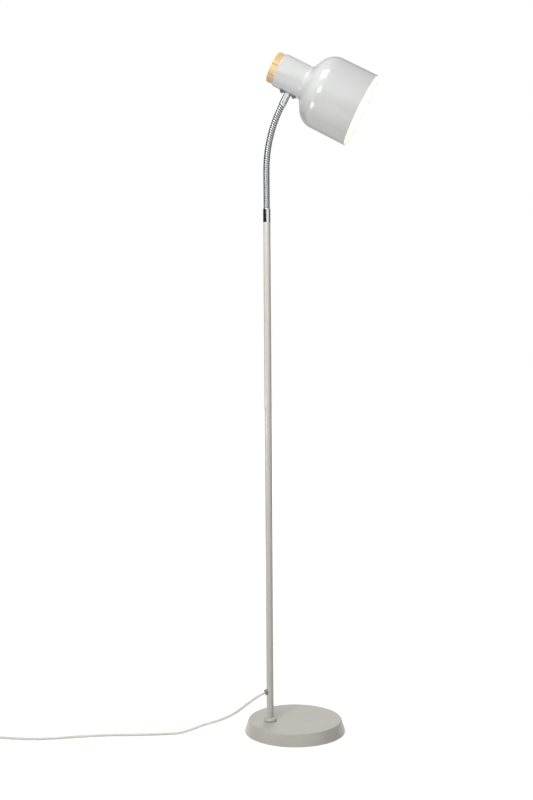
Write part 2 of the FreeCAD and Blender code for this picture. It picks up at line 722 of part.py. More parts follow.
def bulb_form(inset):
    """Round bulb that tapers to its cap, inset square to its glass."""
    centre_t = glass_t + bulb_l - bulb_r
    root = V(cap_r - inset, 0, glass_t)
    radius = bulb_r - inset
    to_root = root - UP * centre_t
    lean = math.acos(radius / to_root.Length)
    root_angle = math.atan2(-to_root.z, to_root.x)
    touch_angle = root_angle - lean
    touch = V(radius * math.cos(touch_angle), 0, centre_t - radius * math.sin(touch_angle))
    half_angle = (touch_angle - math.pi / 2) / 2
    middle = V(radius * math.cos(half_angle), 0, centre_t - radius * math.sin(half_angle))
    tip_point = V(0, 0, centre_t + radius)
    foot = V(0, 0, glass_t)
    edges = [line(foot, root), line(root, touch), arc(touch, middle, tip_point), line(tip_point, foot)]
    return revolved(edges)


def make_bulb():
    keep("bulb_glass", placed(bulb_form(0).cut(bulb_form(bulb_wall)), HEAD))
    cap = revolved(outline([(0, cap_t), (cap_contact_r, cap_t), (cap_r, cap_t + cap_taper),
                            (cap_r, glass_t), (0, glass_t)]))
    keep("bulb_cap", placed(cap, HEAD))


def make_head_lead():
    """The lead from the ferrule, back along the neck, and round into the lampholder's nipple."""
    drop = head_lead_drop
    ends = [(saddle_out_r, 0, ferrule_t), (drop, 0, ferrule_t), (drop, 0, head_lead_turn_t),
            (0, 0, head_lead_turn_t), (0, 0, block_t)]
    keep("head_lead", placed(cord_tube("head_lead", ends, lead_r, head_lead_ease), HEAD))


# ---- free cord, switch, coil, tie and plug -----------------------------------------------------------
last_run = V(*route[-1]) - V(*route[-2])
cord_end = V(route[-1][0], route[-1][1], 0)
AWAY = frame_at(cord_end, V(last_run.x, last_run.y, 0).normalize(), UP)
switch_z = route[-1][2]
coil_x = switch_l + lead_in


def make_cord_runs():
    keep("power_cord", cord_tube("power_cord", route, cord_r))
    start = coil_x - cord_stub
    tail = [(switch_l, 0, switch_z), (switch_l + tail_level, 0, switch_z - tail_dip),
            (switch_l + tail_down, 0, coil_low_z), (start, 0, coil_low_z)]
    keep("cord_tail", placed(cord_tube("cord_tail", tail, cord_r), AWAY))
    far_y = 2 * coil_outer_r
    top_z = coil_low_z + coil_pitch
    end_y = far_y + plug_shift
    drop = [(start, far_y, top_z), (start - plug_drop_level, far_y, top_z),
            (start - plug_drop_down, end_y, plug_z), (start - plug_drop_l, end_y, plug_z)]
    keep("plug_cord", placed(cord_tube("plug_cord", drop, cord_r), AWAY))


def coil_point(turn):
    """Point and direction of the coil: in on the floor, up one layer in half a turn, and out again."""
    middle = coil_turns / 2
    side = 0 if turn == middle else (-1 if turn < middle else 1)
    radius = coil_inner_r + coil_pitch * abs(turn - middle)
    angle = 2 * math.pi * turn - math.pi / 2
    climb = min(max((turn - middle) * 2 + 0.5, 0), 1)
    slope = 12 * climb * (1 - climb) * coil_pitch
    out = V(math.cos(angle), math.sin(angle), 0)
    round_way = V(-math.sin(angle), math.cos(angle), 0)
    point = V(coil_x, coil_outer_r, coil_low_z) + out * radius
    point.z += coil_pitch * climb * climb * (3 - 2 * climb)
    along = round_way * (2 * math.pi * radius) + out * (side * coil_pitch) + UP * slope
    return point, along.normalize()


def least_coil_gap(samples_per_turn=40):
    count = round(coil_turns * samples_per_turn)
    points = [coil_point(coil_turns * i / count)[0] for i in range(count + 1)]
    apart = samples_per_turn // 2
    near = min((a - b).Length for i, a in enumerate(points) for b in points[i + apart:])
    return near - 2 * cord_r


def make_coil():
    quarters = round(coil_turns * 4)
    stations = [coil_point(coil_turns * i / quarters) for i in range(quarters + 1)]
    ends = V(1, 0, 0)
    stations[0] = (stations[0][0], ends)
    stations[-1] = (stations[-1][0], ends * -1)
    edges = [line(stations[0][0] - ends * cord_stub, stations[0][0])]
    for (p0, t0), (p1, t1) in zip(stations, stations[1:]):
        edges += biarc(p0, t0, p1, t1)
    edges.append(line(stations[-1][0], stations[-1][0] - ends * cord_stub))
    path = Part.Wire(edges)
    ring = Part.Wire(Part.makeCircle(cord_r, stations[0][0] - ends * cord_stub, ends))
    coil = path.makePipeShell([ring], True)
    expected = math.pi * cord_r ** 2 * path.Length
    print("cord_coil: length %.1f mm, least radius %.1f mm, volume ratio %.4f, least gap %.2f mm" % (
        path.Length, coil_inner_r, coil.Volume / expected, least_coil_gap()))
    keep("cord_coil", placed(coil, AWAY))

    inner_r = math.sqrt(coil_inner_r ** 2 - (tie_w / 2) ** 2) - cord_r - tie_gap
    outer_r = coil_outer_r + cord_r + tie_gap
    top = coil_low_z + coil_pitch + cord_r + tie_gap
    middle_y = coil_outer_r
    around = box((coil_x + inner_r - tie_wall, middle_y - tie_w / 2, 0),
                 (coil_x + outer_r + tie_wall, middle_y + tie_w / 2, top + tie_wall))
    inside = box((coil_x + inner_r, middle_y - tie_w, tie_wall), (coil_x + outer_r, middle_y + tie_w, top))
    keep("coil_tie", placed(around.cut(inside), AWAY))


def switch_form(inset, low, high):
    """Block with narrowed ends, lying along X from 0."""
    nose = switch_nose_w / 2 - inset
    side = switch_w / 2 - inset
    ends = (inset, switch_l - inset)
    shoulders = (switch_nose_l, switch_l - switch_nose_l)
    ring = [V(ends[0], -nose, low), V(shoulders[0], -side, low), V(shoulders[1], -side, low),
            V(ends[1], -nose, low), V(ends[1], nose, low), V(shoulders[1], side, low),
            V(shoulders[0], side, low), V(ends[0], nose, low)]
    return Part.Face(Part.makePolygon(ring + ring[:1])).extrude(UP * (high - low))


def make_switch():
    centre_x = switch_l / 2
    cord_hole = bar(cord_r + fit, V(-past, 0, switch_z), V(switch_l + past, 0, switch_z))
    hollow = switch_form(switch_wall, switch_wall, switch_h - switch_wall)
    whole = switch_form(0, 0, switch_h)
    whole = rounded(whole, switch_round, lambda e: e.BoundBox.ZMin > switch_h - near)
    whole = whole.cut(hollow)
    lower = whole.common(switch_form(-past, -past, switch_split)).cut(cord_hole)
    keep("switch_base", placed(lower, AWAY))

    # upper shell: rocker's window, and two ears that hold its pin
    upper = whole.common(switch_form(-past, switch_split + fit, switch_h + past))
    half_l = rocker_l / 2 + rocker_gap
    half_w = rocker_w / 2 + rocker_gap
    upper = upper.cut(box((centre_x - half_l, -half_w, switch_h - 2 * switch_wall),
                          (centre_x + half_l, half_w, switch_h + past)))
    for side in (-1, 1):
        inner, outer = sorted((side * half_w, side * (half_w + ear_t)))
        ear = box((centre_x - ear_l / 2, inner, rocker_pin_z - ear_deep),
                  (centre_x + ear_l / 2, outer, switch_h - switch_wall / 2))
        upper = upper.fuse(ear)
    pin_centre = V(centre_x, 0, rocker_pin_z)
    bore_end = V(0, half_w + ear_t + past, 0)
    bore = bar(rocker_pin_r + running, pin_centre - bore_end, pin_centre + bore_end)
    keep("switch_cover", placed(upper.cut(bore), AWAY))

    # rocker: two shallow slopes on top, resting with the lamp switched on
    half = rocker_l / 2
    half_foot = rocker_foot_l / 2
    crest = switch_h - rocker_pin_z + rocker_crest
    shape = [V(-half, 0, crest + rocker_rise), V(0, 0, crest), V(half, 0, crest + rocker_rise),
             V(half_foot, 0, -rocker_deep), V(-half_foot, 0, -rocker_deep)]
    slab = Part.Face(Part.makePolygon(shape + shape[:1])).extrude(V(0, rocker_w, 0))
    slab.translate(V(0, -rocker_w / 2, 0))
    slab = slab.common(bar(half, V(0, -rocker_w, 0), V(0, rocker_w, 0)))
    pin_end = V(0, half_w + ear_t - rocker_pin_short, 0)
    rocker = slab.fuse(bar(rocker_pin_r, pin_end * -1, pin_end))
    rocker.rotate(V(0, 0, 0), V(0, 1, 0), rocker_deg)
    rocker.translate(pin_centre)
    keep("switch_rocker", placed(rocker, AWAY))

    terminals = []
    for x in (switch_nose_l, switch_l - switch_nose_l):
        low = V(x - terminal_l / 2, 0, switch_wall)
        terminals += [Part.makeBox(terminal_l, terminal_w, terminal_h, low + V(0, y, 0))
                      for y in (-terminal_w - terminal_gap / 2, terminal_gap / 2)]
    keep("switch_terminals", placed(Part.makeCompound(terminals), AWAY))


def make_plug():
    start = coil_x - cord_stub - plug_drop_l
    y = 2 * coil_outer_r + plug_shift
    root_x = start - relief_l
    nose_x = root_x - plug_l
    relief = Part.makeCone(relief_tip_r, relief_root_r, relief_l + past, V(start, y, plug_z), V(-1, 0, 0))
    near_side = [V(root_x, y - plug_root_w / 2, 0), V(root_x - plug_widest, y - plug_w / 2, 0),
                 V(nose_x, y - plug_nose_w / 2, 0)]
    far_side = [V(p.x, 2 * y - p.y, 0) for p in reversed(near_side)]
    ring = near_side + far_side
    body = Part.Face(Part.makePolygon(ring + ring[:1])).extrude(UP * plug_t)
    body = rounded(body, plug_round, lambda e: e.BoundBox.ZLength > plug_t - near)
    pins = []
    for side in (-1, 1):
        at_y = y + side * pin_gap / 2
        root = V(nose_x + pin_inside, at_y, plug_z)
        nose = V(nose_x, at_y, plug_z)
        shank = bar(pin_r, nose, nose - V(pin_l, 0, 0))
        shank = rounded(shank, pin_tip_round, lambda e: e.BoundBox.XMax < nose_x - pin_l + near)
        pins.append(shank.fuse(bar(pin_root_r, root, nose)))
        body = body.cut(bar(pin_root_r + fit, root, nose))
    keep("plug_body", placed(body.fuse(relief), AWAY))
    keep("plug_pins", placed(Part.makeCompound(pins), AWAY))


def main():
    os.makedirs("parts", exist_ok=True)
    make_base()
    make_collar()
    make_pole()
    make_neck()
    make_ferrule_and_saddle()
    make_shade()
    make_wood_cap()
    make_bracket()
    make_lampholder()
    make_bulb()
    make_head_lead()
    make_cord_runs()
    make_coil()
    make_switch()
    make_plug()


main()
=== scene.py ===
"""Reading floor lamp with a flexible neck: finishes, hose, leads and cords round its construction.

Metres, +Z up, with the origin at the centre of the base on the floor. Each operator dresses one piece
or one group of like pieces, and the stage operator makes the floor, the lights and the camera.
"""
import json
import math

import bmesh
import bpy
from mathutils import Matrix, Vector

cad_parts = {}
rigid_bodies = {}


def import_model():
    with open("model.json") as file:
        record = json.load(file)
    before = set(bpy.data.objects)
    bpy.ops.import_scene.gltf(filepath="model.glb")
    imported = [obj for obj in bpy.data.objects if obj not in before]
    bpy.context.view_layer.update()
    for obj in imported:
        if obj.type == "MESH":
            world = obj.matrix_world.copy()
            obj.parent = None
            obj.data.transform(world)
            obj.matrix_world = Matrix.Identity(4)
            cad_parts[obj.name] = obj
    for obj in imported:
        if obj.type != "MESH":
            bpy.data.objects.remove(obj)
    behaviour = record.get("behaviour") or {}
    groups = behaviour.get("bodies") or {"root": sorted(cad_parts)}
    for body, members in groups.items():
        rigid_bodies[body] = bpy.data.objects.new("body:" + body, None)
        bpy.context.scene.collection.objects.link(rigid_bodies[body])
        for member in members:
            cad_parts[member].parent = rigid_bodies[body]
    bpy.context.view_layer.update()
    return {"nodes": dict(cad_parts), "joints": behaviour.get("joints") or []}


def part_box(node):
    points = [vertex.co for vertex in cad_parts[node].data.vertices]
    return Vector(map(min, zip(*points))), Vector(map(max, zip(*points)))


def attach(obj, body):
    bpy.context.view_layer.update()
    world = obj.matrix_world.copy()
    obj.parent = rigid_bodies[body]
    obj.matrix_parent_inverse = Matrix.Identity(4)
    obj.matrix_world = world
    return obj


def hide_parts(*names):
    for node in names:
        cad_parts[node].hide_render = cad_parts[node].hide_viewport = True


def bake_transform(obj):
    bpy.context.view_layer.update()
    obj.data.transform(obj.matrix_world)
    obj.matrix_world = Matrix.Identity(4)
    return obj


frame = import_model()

bl_info = {
    "name": "Flexible Neck Reading Lamp",
    "version": (1, 0, 0),
    "blender": (4, 5, 0),
    "location": "3D View > Sidebar > Lamp",
    "description": "Dresses the construction of a reading floor lamp with its finishes, hose and cords",
    "category": "Add Mesh",
}

NODES = frame["nodes"]
UP = Vector((0, 0, 1))


# ---- places taken from the frame -----------------------------------------------------------------
def middle(node):
    low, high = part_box(node)
    return (low + high) / 2


POLE_X = middle("pole_upper").x
NECK_FOOT = Vector((POLE_X, 0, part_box("top_ferrule")[1].z))
NECK_JOINTS = [j for j in frame["joints"] if j["parent"].startswith("neck") or j["child"] == "neck_1"]
HINGES = len(NECK_JOINTS)


# ---- sizes and colours that a user would change --------------------------------------------------
def length(name, description, default):
    return bpy.props.FloatProperty(name=name, description=description, default=default, unit="LENGTH",
                                   precision=5)


def angle(name, description, degrees):
    return bpy.props.FloatProperty(name=name, description=description, default=math.radians(degrees),
                                   subtype="ANGLE")


def colour(name, description, red, green, blue):
    """Colour property; the default is given as it looks, from 0 to 255."""
    shown = (red, green, blue)
    return bpy.props.FloatVectorProperty(name=name, description=description, subtype="COLOR",
                                         min=0, max=1, default=tuple(linear(c / 255) for c in shown))


def amount(name, description, default):
    return bpy.props.FloatProperty(name=name, description=description, default=default, min=0)


def linear(shown):
    return shown / 12.92 if shown <= 0.04045 else ((shown + 0.055) / 1.055) ** 2.4


class LampSizes(bpy.types.PropertyGroup):
    neck_turn: angle("Neck Turn", "Turn of the neck's upright plane about the pole", -18.2)
    neck_straight: length("Neck Straight", "Straight length of the hose above its ferrule", 0.0816)
    neck_radius: length("Neck Radius", "Radius of the hose's bend", 0.298)
    neck_tilt: angle("Neck Tilt", "Angle that the hose bends through", 27.7)
    hose_radius: length("Hose Radius", "Over the round wire", 0.0070)
    groove_radius: length("Groove Radius", "At the bottom of the gap between turns", 0.0056)
    ribs_per_link: bpy.props.IntProperty(name="Ribs per Link", default=4, min=1,
                                         description="Turns of the wire in each twelfth of the neck")
    ferrule_depth: length("Ferrule Depth", "Hose hidden in each ferrule", 0.0120)
    neck_lead_end: length("Neck Lead End", "Lead carried on past the hose into the head", 0.02645)
    lead_radius: length("Lead Radius", "Of the wiring inside the lamp", 0.0018)
    cord_diameter: length("Cord Diameter", "Of the mains cord", 0.0054)
    coil_inner: length("Coil Inner Radius", "Of the innermost turn of the put-away cord", 0.0217)
    coil_pitch: length("Coil Pitch", "From one turn of the put-away cord to the next", 0.0059)
    coil_turns: amount("Coil Turns", "Turns of the put-away cord, in two layers", 6.5)
    coil_low: length("Coil Height", "Of the lower layer's centre line above the floor", 0.0033)
    switch_length: length("Switch Length", "Of the switch in the cord", 0.0620)
    lead_in: length("Lead-in", "Cord between the switch and the coil", 0.0560)


class LampColours(bpy.types.PropertyGroup):
    enamel: colour("Stand Enamel", "Base, collar and pole", 209, 208, 198)
    shade: colour("Shade Enamel", "Outside of the shade", 202, 203, 202)
    shade_inside: colour("Shade Inside", "White inside of the shade", 240, 239, 235)
    oak_light: colour("Oak Light", "Early wood of the rear cap", 228, 203, 156)
    oak_dark: colour("Oak Dark", "Late wood and pores of the rear cap", 186, 146, 90)
    chrome: colour("Chrome", "Hose and ferrules", 226, 227, 229)
    cord: colour("Cord", "Sheath of the mains cord, and its plug and switch", 248, 245, 233)
    bush: colour("Bush", "Rubber bush in the pole", 150, 149, 143)
    felt: colour("Felt", "Pad under the base", 60, 60, 62)
    glow: colour("Glow", "Light of the bulb", 255, 249, 239)


class LampStage(bpy.types.PropertyGroup):
    camera_place: bpy.props.FloatVectorProperty(
        name="Camera Place", description="Camera's place in the row frame",
        subtype="TRANSLATION", unit="LENGTH", default=(-0.608, -2.347, 0.821))
    camera_turn: angle("Camera Turn", "About the upright, from looking along +Y", -13.15)
    camera_dip: angle("Camera Dip", "Below level", 2.15)
    camera_roll: angle("Camera Roll", "Clockwise about its own line of sight", 0.40)
    lens: bpy.props.FloatProperty(name="Lens", description="Focal length", default=50.0, unit="CAMERA")
    high: amount("High Light", "Strength of the light above the head, on its left, in watts", 9.67)
    side: amount("Side Light", "Strength of the light on the left of the head, in watts", 3.43)
    low: amount("Low Light", "Strength of the light low on the left, in watts", 1.82)
    far: amount("Far Light", "Strength of the light farther off on the left, in watts", 10.46)
    mid: amount("Middle Light", "Strength of the light level with the top of the pole, in watts", 1.01)
    fore: amount("Fore Light", "Strength of the light in front of the top of the pole, in watts", 1.71)
    back: amount("Back Light", "Strength of the light behind the base, in watts", 8.29)
    ambient: amount("Ambient", "Strength of the even light of the room", 0.12)
    glow: amount("Glow", "Strength of the bulb's glass", 7.0)
    floor_lift: amount("Floor Lift", "Share of plain white in the seen floor by the lamp", 0.8)


def sizes():
    return bpy.context.scene.lamp_sizes


def colours():
    return bpy.context.scene.lamp_colours


def stage_settings():
    return bpy.context.scene.lamp_stage


# ---- the neck's centre line and the head's place -------------------------------------------------
def neck_length():
    s = sizes()
    return s.neck_straight + s.neck_radius * s.neck_tilt


def link_length():
    return neck_length() / HINGES


def neck_at(along):
    """Point and direction of the neck's centre line, that far along it from the top ferrule's mouth."""
    s = sizes()
    turned = Matrix.Rotation(s.neck_turn, 3, "Z")
    if along <= s.neck_straight:
        return NECK_FOOT + UP * along, UP.copy()
    bent = min(along - s.neck_straight, s.neck_radius * s.neck_tilt) / s.neck_radius
    point = Vector((s.neck_radius * (1 - math.cos(bent)), 0,
                    s.neck_straight + s.neck_radius * math.sin(bent)))
    direction = Vector((math.sin(bent), 0, math.cos(bent)))
    point += direction * max(along - neck_length(), 0)
    return NECK_FOOT + turned @ point, turned @ direction


def across_neck():
    return Matrix.Rotation(sizes().neck_turn, 3, "Z") @ Vector((0, 1, 0))


def shade_axis():
    """A point on the shade's axis and the axis's direction, towards the shade's mouth."""
    return middle("wood_cap"), across_neck().cross(neck_at(neck_length())[1])


# ---- finishes ------------------------------------------------------------------------------------
class Finish:
    """A procedural material: its node tree, its shader and the object's own coordinates."""

    def __init__(self, name, **sockets):
        self.material = bpy.data.materials.new(name + "_finish")
        self.material.use_nodes = True
        self.tree = self.material.node_tree
        self.tree.nodes.clear()
        self.shader = self.node("ShaderNodeBsdfPrincipled", **sockets)
        self.surface = self.node("ShaderNodeOutputMaterial")
        self.link(self.shader.outputs["BSDF"], self.surface.inputs["Surface"])
        self.coordinates = self.node("ShaderNodeTexCoord")
        self.place = self.coordinates.outputs["Object"]

    def node(self, kind, settings=None, **sockets):
        made = self.tree.nodes.new(kind)
        for name, value in (settings or {}).items():
            setattr(made, name, value)
        for name, value in sockets.items():
            socket = made.inputs[int(name[1:]) if name[0] == "_" else name.replace("_", " ")]
            if isinstance(value, bpy.types.NodeSocket):
                self.link(value, socket)
            else:
                socket.default_value = value
        return made

    def link(self, source, target):
        self.tree.links.new(source, target)

    def vector(self, operation, *inputs, output=0):
        numbered = {"_%d" % number: value for number, value in enumerate(inputs)}
        return self.node("ShaderNodeVectorMath", {"operation": operation}, **numbered).outputs[output]

    def noise(self, scale, detail=2.0, roughness=0.5, at=None):
        return self.node("ShaderNodeTexNoise", Vector=at or self.place, Scale=scale, Detail=detail,
                         Roughness=roughness).outputs["Fac"]

    def ramp(self, value, *stops):
        """Colour ramp through (position, colour) stops."""
        made = self.node("ShaderNodeValToRGB", Fac=value)
        band = made.color_ramp.elements
        while len(band) < len(stops):
            band.new(1.0)
        for element, (position, tint) in zip(band, stops):
            element.position = position
            element.color = (*tint[:3], 1)
        return made.outputs["Color"]

    def spread(self, value, low, high):
        """Maps a texture's value, mostly 0.3 to 0.7, onto a range."""
        return self.node("ShaderNodeMapRange", Value=value, From_Min=0.3, From_Max=0.7, To_Min=low,
                         To_Max=high).outputs["Result"]

    def mixed(self, factor, first, second):
        made = self.node("ShaderNodeMix", {"data_type": "RGBA"}, _0=factor, _6=first, _7=second)
        return made.outputs[2]

    def bump(self, height, depth):
        made = self.node("ShaderNodeBump", Strength=1.0, Distance=depth, Height=height)
        self.link(made.outputs["Normal"], self.shader.inputs["Normal"])

    def paint(self, value, socket="Base Color"):
        self.link(value, self.shader.inputs[socket])


def shade_of(tint, factor):
    """The same colour, lighter or darker, as four numbers."""
    return (*[min(c * factor, 1.0) for c in tint[:3]], 1.0)


def sprayed_enamel(name, tint, roughness, peel_depth, coat_roughness):
    """Stoved paint over metal: faint cloudiness, an uneven gloss and orange peel."""
    f = Finish(name, IOR=1.5, Coat_Weight=0.35, Coat_Roughness=coat_roughness)
    f.paint(f.ramp(f.noise(14.0, 3.0), (0.3, shade_of(tint, 0.975)), (0.7, shade_of(tint, 1.02))))
    f.paint(f.spread(f.noise(60.0, 3.0), roughness * 0.85, roughness * 1.15), "Roughness")
    f.bump(f.noise(650.0, 1.0), peel_depth)
    return f


def stand_enamel():
    return sprayed_enamel("stand_enamel", colours().enamel, 0.34, 0.00004, 0.18).material


def shade_enamel():
    """Gloss outside, plain white inside; the side is told by where the surface faces from the axis."""
    f = sprayed_enamel("shade_enamel", colours().shade, 0.16, 0.000015, 0.08)
    on_axis, axis = shade_axis()
    from_axis = f.vector("SUBTRACT", f.place, on_axis)
    outward = f.vector("SUBTRACT", from_axis, f.vector("PROJECT", from_axis, axis))
    facing = f.vector("DOT_PRODUCT", outward, f.coordinates.outputs["Normal"], output="Value")
    outside = f.node("ShaderNodeMath", {"operation": "GREATER_THAN"}, _0=facing, _1=0.0).outputs[0]
    inner = (*colours().shade_inside, 1.0)
    outer = f.shader.inputs["Base Color"].links[0].from_socket
    f.paint(f.mixed(outside, inner, outer))
    gloss = f.shader.inputs["Roughness"].links[0].from_socket
    inside_gloss = 0.5
    either = f.node("ShaderNodeMix", {"data_type": "FLOAT"}, _0=outside, _2=inside_gloss, _3=gloss)
    f.paint(either.outputs[0], "Roughness")
    return f.material


def plated(name, tint, smoothest, dullest):
    """Bright plating with a barely uneven gloss."""
    f = Finish(name, Metallic=1.0)
    f.paint(f.ramp(f.noise(90.0), (0.3, shade_of(tint, 0.96)), (0.7, shade_of(tint, 1.0))))
    f.paint(f.spread(f.noise(400.0, 3.0), smoothest, dullest), "Roughness")
    return f.material


def chrome():
    """Bright plating of the ferrules."""
    return plated("chrome", colours().chrome, 0.05, 0.12)


def hose_wire():
    """Round wire of the hose, a little duller than the ferrules; its colour is the chrome's darkened, a
    painted darker reflection of its surroundings.
    """
    return plated("hose_wire", shade_of(colours().chrome, 0.72), 0.10, 0.20)


def hose_groove():
    """Painted shade in the grooves: metal between the turns of the hose's wire, coloured near black,
    and dull.
    """
    f = Finish("hose_groove", Metallic=1.0)
    f.paint(f.ramp(f.noise(300.0, 3.0), (0.3, (0.02, 0.02, 0.02)), (0.7, (0.05, 0.05, 0.05))))
    f.paint(f.spread(f.noise(600.0, 2.0), 0.35, 0.55), "Roughness")
    return f.material


def saddle_steel():
    """Metal of the saddle, its screws and the grub screw, darker than the chrome."""
    f = Finish("saddle_steel", Metallic=1.0)
    f.paint(f.ramp(f.noise(180.0, 3.0), (0.3, (0.20, 0.20, 0.21)), (0.7, (0.30, 0.30, 0.31))))
    f.paint(f.spread(f.noise(500.0, 3.0), 0.18, 0.32), "Roughness")
    return f.material


def zinc_plate():
    """Dull zinc of the fasteners and other hidden metal."""
    f = Finish("zinc_plate", Metallic=1.0)
    f.paint(f.ramp(f.noise(220.0, 4.0), (0.3, (0.42, 0.43, 0.45)), (0.7, (0.60, 0.60, 0.60))))
    f.paint(f.spread(f.noise(500.0, 3.0), 0.25, 0.45), "Roughness")
    return f.material


def turned_oak():
    """Pale oak turned with its grain along the shade's axis: rings, long pores and fine flecks."""
    f = Finish("turned_oak", IOR=1.45, Coat_Weight=0.15, Coat_Roughness=0.3)
    on_axis, axis = shade_axis()
    light, dark = colours().oak_light, colours().oak_dark
    along = axis.to_track_quat("Z", "Y").to_matrix().inverted().to_euler()
    mapped = f.node("ShaderNodeMapping", Vector=f.vector("SUBTRACT", f.place, on_axis),
                    Rotation=along).outputs[0]
    stretched = f.node("ShaderNodeMapping", Vector=mapped, Scale=(1.0, 1.0, 0.06)).outputs[0]
    off_centre = f.node("ShaderNodeMapping", Vector=mapped, Location=(0.055, 0.02, 0.0),
                        Scale=(1.0, 1.0, 0.08)).outputs[0]
    rings = f.node("ShaderNodeTexWave",
                   {"wave_type": "RINGS", "rings_direction": "Z", "wave_profile": "SAW"},
                   Vector=off_centre, Scale=40.0, Distortion=1.4, Detail=3.0, Detail_Scale=9.0)
    wood = f.ramp(rings.outputs["Fac"], (0.0, light), (0.62, shade_of(light, 0.93)), (0.93, dark),
                  (1.0, shade_of(light, 0.9)))
    cloud = f.mixed(f.spread(f.noise(28.0, 2.0, at=stretched), 0.0, 0.55), wood, shade_of(dark, 1.12))
    pores = f.noise(900.0, 2.0, 0.7, at=stretched)
    pored = f.mixed(f.node("ShaderNodeMapRange", Value=pores, From_Min=0.60, From_Max=0.72, To_Min=0.0,
                           To_Max=0.55).outputs["Result"], cloud, shade_of(dark, 0.62))
    f.paint(pored)
    f.paint(f.spread(pores, 0.42, 0.62), "Roughness")
    f.bump(pores, 0.00008)
    return f.material


def moulded(name, tint, roughness, grain=0.00002):
    """Plain moulded plastic or rubber with a slight mould texture."""
    f = Finish(name, IOR=1.48)
    f.paint(f.ramp(f.noise(70.0, 3.0), (0.3, shade_of(tint, 0.95)), (0.7, shade_of(tint, 1.03))))
    f.paint(f.spread(f.noise(300.0, 2.0), roughness * 0.85, roughness * 1.15), "Roughness")
    f.bump(f.noise(1800.0, 2.0), grain)
    return f.material


def felt():
    f = Finish("felt", Sheen_Weight=0.4, Sheen_Roughness=0.5, Roughness=0.95)
    tint = colours().felt
    fibres = f.noise(2600.0, 4.0, 0.8)
    f.paint(f.ramp(fibres, (0.35, shade_of(tint, 0.6)), (0.65, shade_of(tint, 1.5))))
    f.bump(fibres, 0.0003)
    return f.material


def cast_iron():
    f = Finish("cast_iron", Metallic=0.6)
    lumps = f.noise(240.0, 5.0, 0.65)
    f.paint(f.ramp(lumps, (0.3, (0.035, 0.034, 0.033)), (0.7, (0.075, 0.072, 0.068))))
    f.paint(f.spread(lumps, 0.55, 0.8), "Roughness")
    f.bump(lumps, 0.0004)
    return f.material


def opal_glass():
    """Lit opal glass with a slightly cloudy glow."""
    tint = colours().glow
    f = Finish("opal_glass", Roughness=0.25, Emission_Strength=stage_settings().glow)
    cloudy = f.noise(40.0, 2.0)
    f.paint(f.ramp(cloudy, (0.3, shade_of(tint, 0.97)), (0.7, shade_of(tint, 1.0))))
    f.paint(f.ramp(cloudy, (0.3, shade_of(tint, 0.95)), (0.7, shade_of(tint, 1.0))), "Emission Color")
    return f.material


def bulb_metal():
    f = Finish("bulb_metal", Metallic=1.0)
    f.paint(f.ramp(f.noise(160.0, 3.0), (0.3, (0.55, 0.55, 0.56)), (0.7, (0.68, 0.68, 0.69))))
    f.paint(f.spread(f.noise(500.0), 0.22, 0.4), "Roughness")
    return f.material


def porcelain():
    f = Finish("porcelain", IOR=1.52, Coat_Weight=0.6, Coat_Roughness=0.05)
    f.paint(f.ramp(f.noise(80.0, 3.0), (0.3, (0.70, 0.69, 0.64)), (0.7, (0.80, 0.79, 0.74))))
    f.paint(f.spread(f.noise(200.0), 0.2, 0.35), "Roughness")
    return f.material


def brass():
    f = Finish("brass", Metallic=1.0)
    f.paint(f.ramp(f.noise(260.0, 3.0), (0.3, (0.56, 0.40, 0.14)), (0.7, (0.68, 0.50, 0.20))))
    f.paint(f.spread(f.noise(600.0), 0.25, 0.45), "Roughness")
    return f.material


FINISHES = {
    "stand_enamel": stand_enamel,
    "shade_enamel": shade_enamel,
    "chrome": chrome,
    "hose_wire": hose_wire,
    "hose_groove": hose_groove,
    "saddle_steel": saddle_steel,
    "zinc_plate": zinc_plate,
    "turned_oak": turned_oak,
    "cord_sheath": lambda: moulded("cord_sheath", colours().cord, 0.42),
    "cord_plastic": lambda: moulded("cord_plastic", colours().cord, 0.32),
    "bush_rubber": lambda: moulded("bush_rubber", colours().bush, 0.55),
    "lead_sheath": lambda: moulded("lead_sheath", (0.72, 0.71, 0.67), 0.5),
    "plate_plastic": lambda: moulded("plate_plastic", (0.03, 0.03, 0.03), 0.6),
    "holder_plastic": lambda: moulded("holder_plastic", (0.74, 0.73, 0.70), 0.35),
    "tie_plastic": lambda: moulded("tie_plastic", (0.62, 0.61, 0.56), 0.5),
    "felt": felt,
    "cast_iron": cast_iron,
    "opal_glass": opal_glass,
    "bulb_metal": bulb_metal,
    "porcelain": porcelain,
    "brass": brass,
}


def finish(name):
    """That finish, made the first time that a piece asks for it."""
    return bpy.data.materials.get(name + "_finish") or FINISHES[name]()


def dress(finish_name, *nodes):
    """Gives carried construction nodes their finish."""
    for node in nodes:
        part = NODES[node]
        for slot in part.material_slots:
            slot.material = finish(finish_name)


# ---- making pieces -------------------------------------------------------------------------------
def add_piece(name, data, *finish_names):
    piece = bpy.data.objects.new(name, data)
    bpy.context.scene.collection.objects.link(piece)
    for finish_name in finish_names:
        data.materials.append(finish(finish_name))
    return piece


